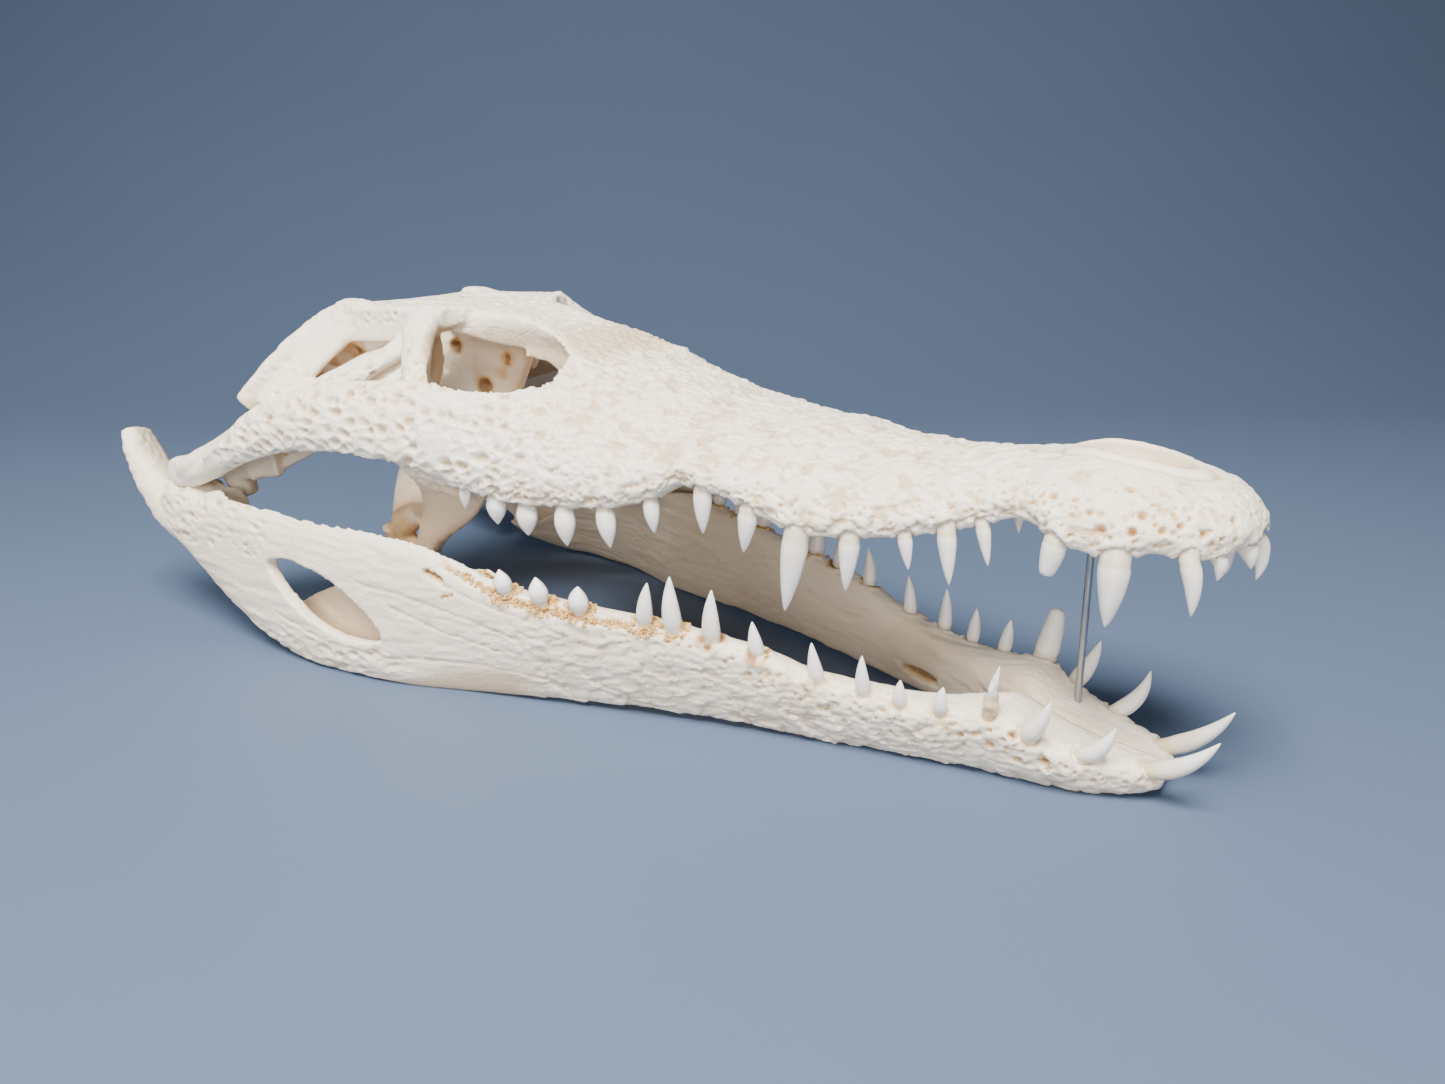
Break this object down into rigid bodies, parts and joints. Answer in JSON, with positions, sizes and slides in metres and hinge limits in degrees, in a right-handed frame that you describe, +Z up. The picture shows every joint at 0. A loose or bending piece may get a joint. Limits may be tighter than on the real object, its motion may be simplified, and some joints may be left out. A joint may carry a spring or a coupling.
{
  "type": "crocodile skull",
  "caption": "Dry crocodile skull with the lower jaw, set with the mouth held open by a thin upright metal rod; it lies on the underside of the lower jaw.",
  "frame": {"origin": "centre of the bounding box's base, on the floor", "axes": "+X towards the snout, +Y towards the animal's left, +Z up"},
  "size_m": [0.5212, 0.2068, 0.1591],
  "materials": {
    "skull_bone": "dry cream-white bone, satin, with glossier teeth",
    "jaw_bone": "dry cream-white bone, satin, with glossier teeth",
    "rod_steel": "plain grey metal"
  },
  "bodies": {
    "root": {"snout": "skull_bone", "skull_roof": "skull_bone", "pterygoid": "skull_bone", "cheek_right": "skull_bone", "cheek_left": "skull_bone", "jaw_right": "jaw_bone", "jaw_left": "jaw_bone", "prop_rod": "rod_steel"}
  },
  "joints": []
}
